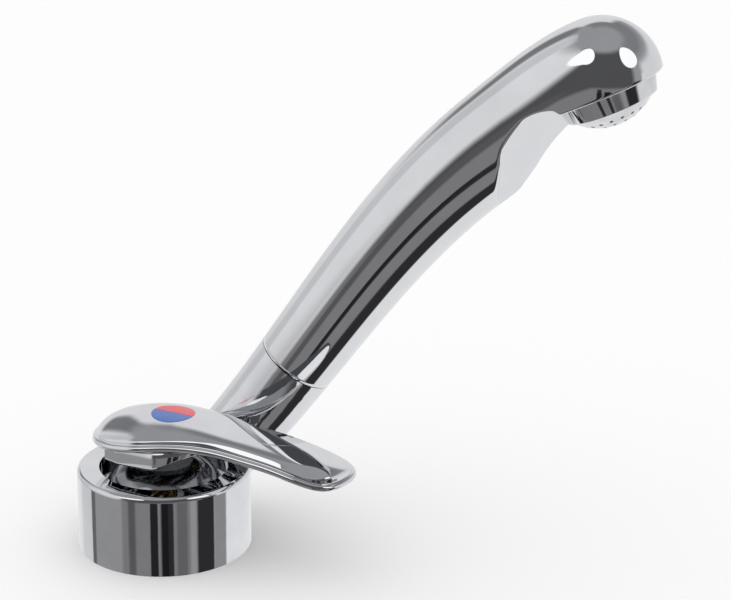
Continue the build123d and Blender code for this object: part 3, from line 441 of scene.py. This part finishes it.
def lever_top(share, u, v, foot):
    """Height of the crown: a superellipse falls from the crown's line at share 0 to its foot on
    the rim at share 1, cut by a steep plane on the near side and, on the far side, by a facet
    that a parabola hollows."""
    hub, arm = ease(u, *HUB_STRETCH), ease(u, *ARM_STRETCH)
    power = REAR_POWER + HUB_POWER * hub + ARM_POWER * arm
    root = REAR_ROOT + HUB_ROOT * hub + ARM_ROOT * arm
    crown = CROWN(u) - CROWN_BOW * v**2
    dome = foot + (crown - foot) * np.clip(1 - share**power, 0, 1) ** (1 / root)
    flank = NEAR_FOOT(u) + NEAR_SLOPE(u) * (v + NEAR_HALF(u))
    reach = FAR_HALF(u) - v
    part = reach / FACET_WIDTH(u)
    hollow = 4 * FACET_HOLLOW * ease(u, *HOLLOW_STRETCH) * part * (1 - part)
    facet = FAR_FOOT(u) + FAR_SLOPE(u) * reach - hollow
    turn = RIDGE_ROUND + TIP_ROUND * ease(u, *TIP_STRETCH)
    return np.maximum(soft_min(soft_min(dome, flank, turn), facet, turn), foot)


def add_lever():
    """Rings from the spine out to the rim over the crown, round the rim's bead, and back inside
    under a wall of even thickness: a ring is at the same share of each line from spine to rim."""
    side, across, high = RIM.T
    out = outwards(RIM)
    spine = np.clip(side, *SPINE)
    share = np.sin(np.linspace(0, math.pi / 2, CROWN_ROWS)[:, None]) ** CROWN_CROWDING
    u, v = spine + share * (side - spine), share * across
    crown = lever_place(u, v, lever_top(share, u, v, high))
    sweep = np.radians(np.linspace(*BEAD_SWEEP, BEAD_ROWS))[:, None]
    step = BEAD_STEP + BEAD_RADIUS * np.cos(sweep)
    drop = BEAD_RADIUS * np.sin(sweep) - BEAD_DROP
    bead = lever_place(side + step * out[:, 0], across + step * out[:, 1], high + drop)
    inner = np.linspace(INNER_SHARE, 0, INNER_ROWS)[:, None]
    u, v = spine + inner * (side - spine), inner * across
    roof = lever_top(inner, u, v, high) - LEVER_WALL
    roof[0] = high - RIM_WALL
    inside = lever_place(u, v, np.maximum(roof, high - RIM_WALL))
    rings = np.concatenate([crown, bead, inside])
    skin("lever_casting", rings, LEVER_PLATING, "lever", ["lever_handle"])


add_lever()

# Marker: its middle along u, its radius, each half's distance from the line between them, and
# each half's middle, from which it shrinks
MARKER_PLACE = 4.0
MARKER_RADIUS = 7.5
MARKER_GAP = 0.06
MARKER_MIDDLE = 3.2
MARKER_ARC_COUNT = 121
MARKER_CHORD_COUNT = 80
# Its rows: flat ones proud of the crown out to a share of the way to the edge, then (share,
# height above the crown) round the edge, down into the crown and back under
MARKER_PROUD = 0.14
MARKER_FLAT_SHARE = 0.96
MARKER_FLAT_ROWS = 24
MARKER_EDGE = ((0.98, 0.135), (0.993, 0.11), (1, 0.07), (1, -0.5), (0.5, -0.5), (0, -0.5))
# Height of the rim beside the hub, by u
HUB_FOOT = ((-22, -8, 2, 14), (40.2, 41.6, 42.9, 43.8))


def hub_height(u, v):
    """Height of the crown at (u, v) near the hub, by its share of the way out to the rim: along
    a line from the spine's end behind it, and across the lever beside it."""
    behind = np.minimum(RIM[:, 0] - SPINE[0], 0)
    back = np.maximum(SPINE[0] - u, 0)
    angle = np.arctan2(RIM[:, 1], behind)
    order = np.argsort(angle)
    far = np.hypot(behind, RIM[:, 1])
    reach = np.interp(np.arctan2(v, -back), angle[order], far[order], period=2 * math.pi)
    half = np.where(v < 0, NEAR_HALF(u), FAR_HALF(u))
    share = np.where(back > 0, np.hypot(back, v) / reach, np.abs(v) / half)
    return lever_top(share, u, v, np.interp(u, *HUB_FOOT))


def add_marker(name, way, material, replaced):
    """Half disc of enamel: its outline, an arc and its chord, shrinks to its middle over the
    crown, a hair proud of it with a rounded edge, and its foot sinks into the crown."""
    turn = np.linspace(0, math.pi, MARKER_ARC_COUNT)
    arc = MARKER_RADIUS * np.stack([np.cos(turn), np.sin(turn)], -1)
    chord = np.linspace(-MARKER_RADIUS, MARKER_RADIUS, MARKER_CHORD_COUNT)[1:-1]
    loop = np.concatenate([arc, np.stack([chord, 0 * chord], -1)])
    loop[:, 1] = way * (loop[:, 1] + MARKER_GAP)
    middle = np.array([0, way * MARKER_MIDDLE])
    rows = [(share, MARKER_PROUD) for share in np.linspace(0, MARKER_FLAT_SHARE, MARKER_FLAT_ROWS)]
    share, proud = np.array([*rows, *MARKER_EDGE]).T
    flat = middle + share[:, None, None] * (loop - middle)
    u, v = MARKER_PLACE + flat[..., 0], flat[..., 1]
    rings = lever_place(u, v, hub_height(u, v) + proud[:, None])
    skin(name, rings, material, "lever", [replaced])


add_marker("hot_enamel", 1, RED, "hot_marker")
add_marker("cold_enamel", -1, BLUE, "cold_marker")

# Half outline (u, v) of the skirt under the hub: flat cheeks with tight corners, and a round
# back. The other side mirrors it.
SKIRT_REAR = (-18.2, 0.0)
SKIRT_SIDE = (
    (-17.6, -6.2),
    (-16.2, -11.2),
    (-14.5, -15.1),
    (-13.2, -16.1),
    (-9.2, -17.3),
    (-7.8, -17.6),
    (-4.8, -17.6),
    (3.5, -17.6),
    (7.0, -17.5),
    (12.0, -16.0),
    (16.4, -12.9),
    (19.2, -8.6),
    (20.2, -3.0),
)
SKIRT_LOOP = (SKIRT_REAR, *SKIRT_SIDE, *((u, -v) for u, v in reversed(SKIRT_SIDE)))
SKIRT_COUNT = 480
# Heights of its top and of its lower edge at the back and at the arm, where along u the edge
# rises from one to the other, and its wall
SKIRT_TOP = 40.6
SKIRT_BOTTOM = 33.1
SKIRT_FRONT = 38.4
SKIRT_RISE = (3.0, 19.0)
SKIRT_WALL = 2.0
SKIRT_EDGE_ROWS = 13


def add_skirt():
    """Wall that hangs from the hub: its outline runs straight down, round a half-round lower
    edge, and back up inside; the lower edge rises towards the arm."""
    loop = loop_through(SKIRT_LOOP, SKIRT_COUNT)
    out = outwards(loop)
    half = SKIRT_WALL / 2
    middle = SKIRT_BOTTOM + (SKIRT_FRONT - SKIRT_BOTTOM) * ease(loop[:, 0], *SKIRT_RISE) + half
    sweep = np.radians(np.linspace(0, -180, SKIRT_EDGE_ROWS))
    inset = np.concatenate([[0, 0], half * (1 - np.cos(sweep)), [SKIRT_WALL, SKIRT_WALL, 0]])[:, None]
    share = np.concatenate([[1, 0.5], 0 * sweep, [0.5, 1, 1]])[:, None]
    drop = np.concatenate([[0, 0], half * np.sin(sweep), [0, 0, 0]])[:, None]
    high = middle + share * (SKIRT_TOP - middle) + drop
    rings = lever_place(loop[:, 0] - inset * out[:, 0], loop[:, 1] - inset * out[:, 1], high)
    skin("lever_skirt", rings, LEVER_PLATING, "lever")


add_skirt()

# Profile (radius, height) of the domed cap in the base's well, and how much the inner curve
# moves in and down
CAP_LINE = (
    (9.4, 30.0),
    (11.5, 29.6),
    (13.5, 28.9),
    (15.5, 27.7),
    (17.3, 26.1),
    (19.0, 23.9),
    (20.4, 21.6),
    (21.4, 20.1),
)
CAP_WALL = 1.0
CAP_INSET = 0.4
CAP_ROWS = 60
CAP_LIP_ROWS = 9
CAP_AROUND = 240


def add_cap():
    """Dome turned about the upright axis: a smooth curve through the profile's points outside,
    the same curve a wall lower inside, and a rounded lip round the opening."""
    radius, height = np.array(CAP_LINE).T
    far = np.linspace(0, 1, len(radius))
    fine = np.linspace(0, 1, CAP_ROWS)
    wide, high = spline_through(far, radius)(fine), spline_through(far, height)(fine)
    outside = np.stack([wide, high], -1)
    inside = outside[::-1] - (CAP_INSET, CAP_WALL)
    turn = np.radians(np.linspace(270, 90, CAP_LIP_ROWS))
    half = CAP_WALL / 2
    lip = np.stack([wide[0] + half * np.cos(turn), high[0] - half + half * np.sin(turn)], -1)
    line = np.concatenate([outside, inside, lip, outside[:1]])
    around = np.arange(CAP_AROUND) * 2 * math.pi / CAP_AROUND
    width, rise = line[:, :1], line[:, 1:]
    rings = np.stack([width * np.cos(around), width * np.sin(around), rise + 0 * around], -1)
    skin("well_cap", rings, SHADE_PAINTED_CAP_PLATING, "body", ["cartridge_cap"])


add_cap()

# Handset
# Side view of the spout's middle plane, (x, z); the plane itself stands at y = SPOUT_SIDE
SPOUT_SIDE = 28.0
SPOUT_LINE = np.array(((11.4, 22.8), (55.0, 75.1), (79.3, 136.7), (140.6, 165.3)))
# Radius at a share of the spout's length: root, growth with the share and flare with its cube,
# and the share from which it turns level with the dome
SPOUT_SIZES = (13.0, 4.6, 2.3)
LEVEL_SHARE = 0.85
# Joint with the holder: its share and gap, the shell's wall, and the share where the bore ends
JOINT_SHARE = 0.236
JOINT_GAP = 0.3
SHELL_WALL = 2.0
BORE_SHARE = 0.44
BORE_ROWS = 10
# Spray head: how far its axis leans, the directions ahead and up, the ring's middle, how high
# the dome's middle stands over it, the dome's radius, and how far back from the ring's middle and
# ahead of it the ring's plane cuts the scoop
HEAD_TILT = math.radians(24.3)
HEAD_FORWARD = np.array((math.cos(HEAD_TILT), math.sin(HEAD_TILT)))
HEAD_UP = np.array((-math.sin(HEAD_TILT), math.cos(HEAD_TILT)))
HEAD_CENTRE = np.array((142.8, 164.3))
HEAD_SHOULDER = 4.0
HEAD_RADIUS = 20.0
HEAD_SKIRT = 13.0
RING_REACH = 40.0
# Keel from the grip's underside up to the collar, with its cheeks' slope, and the scoop's
# crease: each a line with an arc through three of its points, in this many steps
KEEL_COUNT = 24
CREASE_COUNT = 32
KEEL_SLOPE = math.radians(34)
KEEL_LINE = ((106.0, 112.8), (121.5, 137.4), (126.6, 146.0), (133.0, 153.6), (162.8, 217.2))
CREASE_LINE = ((110.0, 86.0), (110.0, 126.0), (112.3, 141.0), (117.6, 155.0), (128.8, 160.2))
CREASE_ROUND = 0.7
CHEEK_ROUND = 0.3

# Rows of rays: the share from which they crowd, and how many there are before it, after it, on
# the dome and around
CROWD_SHARE = 0.68
GRIP_ROWS = 61
NECK_ROWS = 116
DOME_ROWS = 84
HANDSET_AROUND = 360
# How high above the spout's line they start, and where that lift eases in, and where the line
# bends to the dome's middle
RAY_LIFT = 8.5
LIFT_STRETCH = (0.55, 0.8)
BEND_STRETCH = (0.8, 1.0)
# Step of the share for a direction, how far past its free end a ray is tried, and how often
# its length is halved
SLOPE_STEP = 1e-4
RAY_SPARE = 0.5
HALVINGS = 26


def arc_points(first, middle, last, count):
    """Points along the circular arc through three points of a plane."""
    a, b, c = (complex(*p) for p in (first, middle, last))
    w = (c - a) / (b - a)
    centre = (b - a) * (w - abs(w) ** 2) / (2j * w.imag) + a
    start, bend = a - centre, (c - centre) / (a - centre)
    turn = math.atan2(bend.imag, bend.real)
    path = centre + start * np.exp(1j * turn * np.linspace(0, 1, count))
    return np.stack([path.real, path.imag], -1)


def right_of(points, chain):
    """Signed distance of the points from an open chain of short runs, positive on its right."""
    best = np.full(points.shape[:-1], np.inf)
    side = np.zeros_like(best)
    for a, b in zip(chain[:-1], chain[1:]):
        run = b - a
        rest = points - a
        share = np.clip((rest @ run) / (run @ run), 0, 1)
        gap = np.linalg.norm(rest - share[..., None] * run, axis=-1)
        hand = rest[..., 0] * run[1] - rest[..., 1] * run[0]
        closer = gap < best - TIE
        best = np.where(closer, gap, best)
        side = np.where(closer, np.where(hand < 0, -1.0, 1.0), side)
    return best * side


def spout_line(share):
    """Points of the centre line: a cubic curve drawn by four points, the middle two pulling it,
    whose end is moved smoothly to the dome's middle."""
    t = share[:, None]
    s = 1 - t
    a, b, c, d = SPOUT_LINE
    line = s**3 * a + 3 * s**2 * t * b + 3 * s * t**2 * c + t**3 * d
    return line + (HEAD_CENTRE + HEAD_SHOULDER * HEAD_UP - d) * ease(t, *BEND_STRETCH)


def spout_ahead(share):
    """Unit directions of the centre line, from two points a small step apart."""
    ahead = spout_line(share + SLOPE_STEP) - spout_line(share - SLOPE_STEP)
    return ahead / np.linalg.norm(ahead, axis=1)[:, None]


def spout_size(share):
    """Radius along the spout: a swelling grip, then a cubic that ends level with the dome."""
    root, growth, flare = SPOUT_SIZES
    t, start = share, LEVEL_SHARE
    free = root + growth * t + flare * t**3
    base = root + growth * start + flare * start**3
    rise = (growth + 3 * flare * start**2) * (1 - start)
    s = np.clip((t - start) / (1 - start), 0, 1)
    level = base * (2 * s**3 - 3 * s**2 + 1) + rise * (s**3 - 2 * s**2 + s)
    return np.where(t < start, free, level + HEAD_RADIUS * (3 * s**2 - 2 * s**3))


def handset_bore(turn):
    """Rings of the bore behind the joint, from a bulkhead inside back to the joint's edge."""
    share = np.linspace(BORE_SHARE, JOINT_SHARE, BORE_ROWS)
    line, run = spout_line(share), spout_ahead(share)
    line[-1] += JOINT_GAP * run[-1]
    wide = np.concatenate([[0.0], spout_size(share) - SHELL_WALL])[:, None]
    line, run = np.concatenate([line[:1], line]), np.concatenate([run[:1], run])
    x = line[:, :1] - wide * np.cos(turn) * run[:, 1:]
    z = line[:, 1:] + wide * np.cos(turn) * run[:, :1]
    return np.stack([x, SPOUT_SIDE + wide * np.sin(turn), z], -1)


def add_handset():
    """Rays leave the centre line, then the middle of the dome, and each stops where the swelling
    tube or the dome ends, or earlier on the keel's cheeks or the scoop's crease, which runs on in
    the ring's plane. The length of each is found by halving between inside and outside."""
    turn = np.arange(HANDSET_AROUND) * 2 * math.pi / HANDSET_AROUND
    keel = np.concatenate([KEEL_LINE[:1], arc_points(*KEEL_LINE[1:4], KEEL_COUNT), KEEL_LINE[4:]])
    ring = [HEAD_CENTRE - HEAD_SKIRT * HEAD_FORWARD, HEAD_CENTRE + RING_REACH * HEAD_FORWARD]
    crease = np.concatenate([CREASE_LINE[:2], arc_points(*CREASE_LINE[2:], CREASE_COUNT), ring])
    grip = np.linspace(JOINT_SHARE, CROWD_SHARE, GRIP_ROWS, endpoint=False)
    share = np.concatenate([grip, np.linspace(CROWD_SHARE, 1, NECK_ROWS)])
    line, ahead = spout_line(share), spout_ahead(share)
    ahead[-1] = HEAD_FORWARD
    line[0] += JOINT_GAP * ahead[0]
    up = np.stack([-ahead[:, 1], ahead[:, 0]], -1)
    lift = RAY_LIFT * ease(share, *LIFT_STRETCH)[:, None]
    fan = np.linspace(math.pi / 2, 0, DOME_ROWS)[1:]

    def carried_on(rows):
        """The rows, with the last one repeated for the dome's fan of rays."""
        return np.concatenate([rows, np.repeat(rows[-1:], len(fan), 0)])

    forward, rise = carried_on(ahead)[:, None], carried_on(up)[:, None]
    lean = np.concatenate([np.full(len(share), math.pi / 2), fan])[:, None]
    flat = (np.sin(lean) * np.cos(turn))[..., None] * rise + np.cos(lean)[..., None] * forward
    way = np.concatenate([flat, (np.sin(lean) * np.sin(turn))[..., None]], -1)
    origin = np.pad(carried_on(line + lift * up), ((0, 0), (0, 1)))[:, None]
    middle = np.pad(carried_on(line), ((0, 0), (0, 1)))[:, None]
    radius = np.concatenate([spout_size(share), np.full(len(fan), HEAD_RADIUS)])[:, None]
    rest = origin - middle
    along = (rest * way).sum(-1)
    free = np.sqrt(along**2 - (rest**2).sum(-1) + radius**2) - along

    def outside(length):
        """Positive where a point at this length along its ray is outside the handset."""
        place = origin + length[..., None] * way
        side, across = place[..., :2], np.abs(place[..., 2])
        cheek = right_of(side, keel) * math.cos(KEEL_SLOPE) + across * math.sin(KEEL_SLOPE)
        void = soft_min(cheek, right_of(side, crease), CHEEK_ROUND)
        return -soft_min(free - length, -void, CREASE_ROUND)

    low, high = np.zeros_like(free), free + RAY_SPARE
    for _ in range(HALVINGS):
        half = (low + high) / 2
        out = outside(half) > 0
        low, high = np.where(out, low, half), np.where(out, half, high)
    place = origin + low[..., None] * way
    skin_rings = np.stack([place[..., 0], SPOUT_SIDE + place[..., 2], place[..., 1]], -1)
    rings = np.concatenate([handset_bore(turn), skin_rings])
    skin("handset_casting", rings, SHELL_PLATING, "handset", ["handset_shell"])


add_handset()

# Floor and studio
# Half the floor's side, in metres, and its paper
FLOOR_REACH = 3.0
PAPER = "#FFFFFF"
PAPER_ROUGHNESS = 0.9


def add_floor():
    """Flat square of white paper that keeps the tap's shadow and isn't mirrored in the chrome."""
    mesh = bpy.data.meshes.new("floor")
    signs = ((-1, -1), (1, -1), (1, 1), (-1, 1))
    mesh.from_pydata([(FLOOR_REACH * x, FLOOR_REACH * y, 0) for x, y in signs], [], [(0, 1, 2, 3)])
    floor = bpy.data.objects.new("floor", mesh)
    scene.collection.objects.link(floor)
    floor.visible_glossy = False
    paper, tree, out = new_material("white_paper")
    looks = {"Base Color": rgb(PAPER), "Roughness": PAPER_ROUGHNESS}
    shader = node(tree, "ShaderNodeBsdfPrincipled", inputs=looks)
    tree.links.new(shader.outputs[0], out.inputs["Surface"])
    mesh.materials.append(paper)


# Studio round the object, by direction: (azimuth, elevation) of the middle, half sizes,
# softness of the edges, all in degrees, and the level. Later cards cover earlier ones.
STUDIO_CARDS = {
    "room_behind_camera": (-80, 22, 60, 36, 12, "#4C4C4E"),
    "paper_sweep": (90, -45, 92, 55, 5, "#DADADB"),
    "paper_horizon": (75, 6, 75, 18, 14, "#D0D0D1"),
    "room_behind": (55, 48, 66, 13, 14, "#7A7A7C"),
    "grey_flag": (139, 30, 12, 14, 12, "#747476"),
    "crown_paper": (107, 28, 19, 16, 8, "#D4D4D5"),
    "left_wall": (-170, 18, 42, 30, 12, "#D6D6D7"),
    "wall_edge": (165, 22, 12, 30, 8, "#C0C0C2"),
    "table_front": (-91, -50, 90, 42, 8, "#787678"),
    "table_left": (-172, -12, 40, 14, 12, "#BDBDBE"),
    "dark_gap": (-115, -14, 5, 14, 5, "#545355"),
    "stand": (-85, -36, 4, 26, 3, "#2A292B"),
    "stand_wide": (-70, -24, 6, 10, 4, "#1A191B"),
    "camera_table": (-28, -66, 24, 14, 8, "#2B2A2C"),
    "side_flag": (-13, -30, 9, 30, 4, "#2B2A2C"),
    "bench_far_left": (-156, -28, 25, 10, 4, "#8E8E8F"),
    "bench_corner": (-179, -28, 4, 10, 3, "#626263"),
    "stand_leg": (-85, -27, 5, 11, 2, "#222123"),
    "second_leg": (-63, -27, 3.5, 11, 2, "#2A292B"),
    "bench_front": (-48, -27, 7, 11, 4, "#605F61"),
    "bench_edge": (-33, -27, 4, 11, 3, "#8E8D8F"),
    "flag_foot": (-15, -27, 12, 11, 3, "#2B2A2C"),
    "bench_right": (8, -27, 10, 11, 4, "#858486"),
}
# Round lamps, as stretched discs: (azimuth, elevation), half sizes and softness, in degrees
STUDIO_LAMPS = {"key_lamp": (-124, 46, 21, 15, 2), "fill_lamp": (-17, 41, 20, 18, 2)}
LAMP = "#FFFFFF"
# Level where no card is
CEILING = "#919193"
# Share of what it mirrors that the plating gives back, which the cards make up for
PLATING_SHARE = 0.80


def add_studio():
    """White world for the camera, even light for the floor, and in what is mirrored the studio's
    cards: a card's mask is the product of two smooth steps down, in azimuth and elevation, and a
    lamp's is one on the square of the distance from its middle, in half sizes."""
    world = bpy.data.worlds.new("studio")
    scene.world = world
    world.use_nodes = True
    tree = world.node_tree
    tree.nodes.clear()
    maths, smooth = "ShaderNodeMath", {"interpolation_type": "SMOOTHSTEP"}
    way = node(tree, "ShaderNodeTexCoord").outputs["Generated"]
    part = node(tree, "ShaderNodeSeparateXYZ", inputs={0: way})
    turn = node(tree, maths, {"operation": "ARCTAN2"}, {0: part.outputs["Y"], 1: part.outputs["X"]})
    azimuth = node(tree, maths, {"operation": "DEGREES"}, {0: turn.outputs[0]}).outputs[0]
    rise = node(tree, maths, {"operation": "ARCSINE"}, {0: part.outputs["Z"]})
    elevation = node(tree, maths, {"operation": "DEGREES"}, {0: rise.outputs[0]}).outputs[0]

    def within(angle, middle, half, soft):
        """1 within half of the middle, with a smooth step down to 0 over soft."""
        shift = node(tree, maths, {"operation": "SUBTRACT"}, {0: angle, 1: middle})
        nearest = node(tree, maths, {"operation": "WRAP"}, {0: shift.outputs[0], 1: 180, 2: -180})
        size = node(tree, maths, {"operation": "ABSOLUTE"}, {0: nearest.outputs[0]}).outputs[0]
        limits = {"From Min": half - soft / 2, "From Max": half + soft / 2, "To Min": 1, "To Max": 0}
        return node(tree, "ShaderNodeMapRange", smooth, {"Value": size, **limits}).outputs[0]

    def spread(angle, middle, half):
        """Square of the angle's distance from the middle, in half sizes."""
        shift = node(tree, maths, {"operation": "SUBTRACT"}, {0: angle, 1: middle})
        share = node(tree, maths, {"operation": "DIVIDE"}, {0: shift.outputs[0], 1: half}).outputs[0]
        return node(tree, maths, {"operation": "MULTIPLY"}, {0: share, 1: share}).outputs[0]

    masks = []
    for name, (middle, height, half, half_height, soft, level) in STUDIO_CARDS.items():
        across = within(azimuth, middle, half, soft)
        upright = within(elevation, height, half_height, soft)
        mask = node(tree, maths, {"operation": "MULTIPLY"}, {0: across, 1: upright})
        masks.append((name, level, mask))
    for name, (middle, height, half, half_height, soft) in STUDIO_LAMPS.items():
        across = spread(azimuth, middle, half)
        upright = spread(elevation, height, half_height)
        far = node(tree, maths, {"operation": "ADD"}, {0: across, 1: upright}).outputs[0]
        edge = soft / half
        limits = {"From Min": 1 - edge, "From Max": 1 + edge, "To Min": 1, "To Max": 0}
        mask = node(tree, "ShaderNodeMapRange", smooth, {"Value": far, **limits})
        masks.append((name, LAMP, mask))
    seen = rgb(CEILING)
    for name, level, mask in masks:
        levels = {0: mask.outputs[0], MIX_A: seen, MIX_B: rgb(level)}
        cover = node(tree, "ShaderNodeMix", {"data_type": "RGBA", "label": name}, levels)
        seen = cover.outputs[MIX_COLOUR]

    mirrored = {"Color": seen, "Strength": 1 / PLATING_SHARE}
    mirror = node(tree, "ShaderNodeBackground", inputs=mirrored).outputs[0]
    even = node(tree, "ShaderNodeBackground", inputs={"Color": (1, 1, 1, 1)}).outputs[0]
    glossy = node(tree, "ShaderNodeLightPath").outputs["Is Glossy Ray"]
    chosen = node(tree, "ShaderNodeMixShader", inputs={0: glossy, 1: even, 2: mirror}).outputs[0]
    node(tree, "ShaderNodeOutputWorld", inputs={"Surface": chosen})


add_floor()
add_studio()
